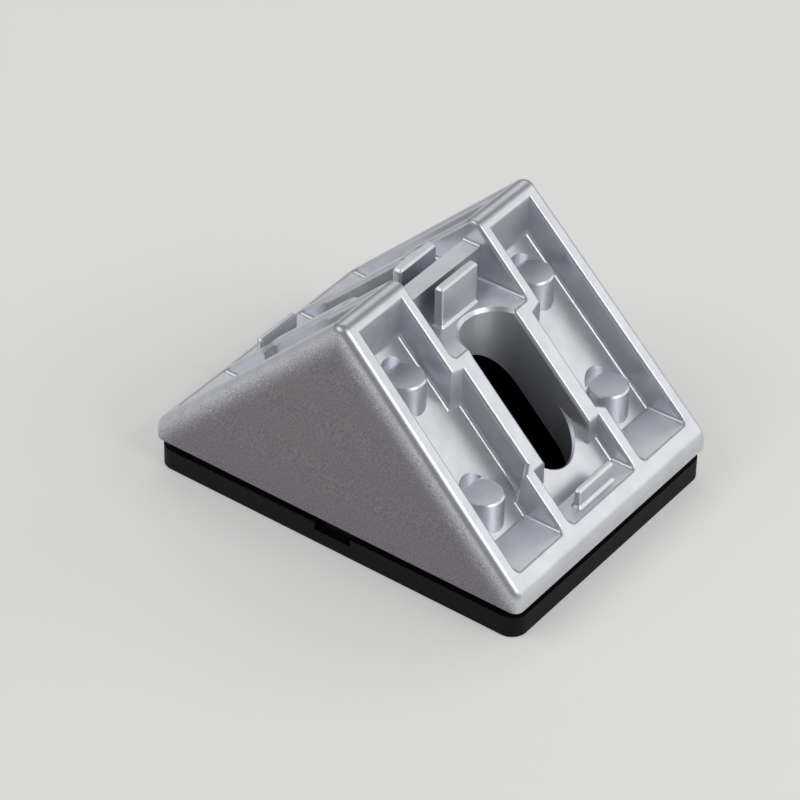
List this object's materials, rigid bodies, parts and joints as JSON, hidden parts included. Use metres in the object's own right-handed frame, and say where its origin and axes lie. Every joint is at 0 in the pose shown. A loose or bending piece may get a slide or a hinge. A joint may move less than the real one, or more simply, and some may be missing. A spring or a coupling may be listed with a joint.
{
  "type": "t slot corner bracket",
  "caption": "Die-cast corner bracket for joining two square T-slot profiles at a right angle, with a bolt slot and centring lugs on each face and a cover cap.",
  "frame": {"origin": "centre of the cap's flat outer face, on the plane that the bracket stands on", "axes": "+Z from the cap to the ridge, along the bisector of the two mounting faces; +Y along the ridge; the mounting faces look towards +X and -X, each 45 degrees upwards"},
  "size_m": [0.0516, 0.038, 0.0314],
  "materials": {
    "cast_aluminium": "satin, tumbled",
    "black_plastic": "matte"
  },
  "bodies": {
    "root": {"bracket_body": "cast_aluminium", "cover_cap": "black_plastic"}
  },
  "joints": []
}
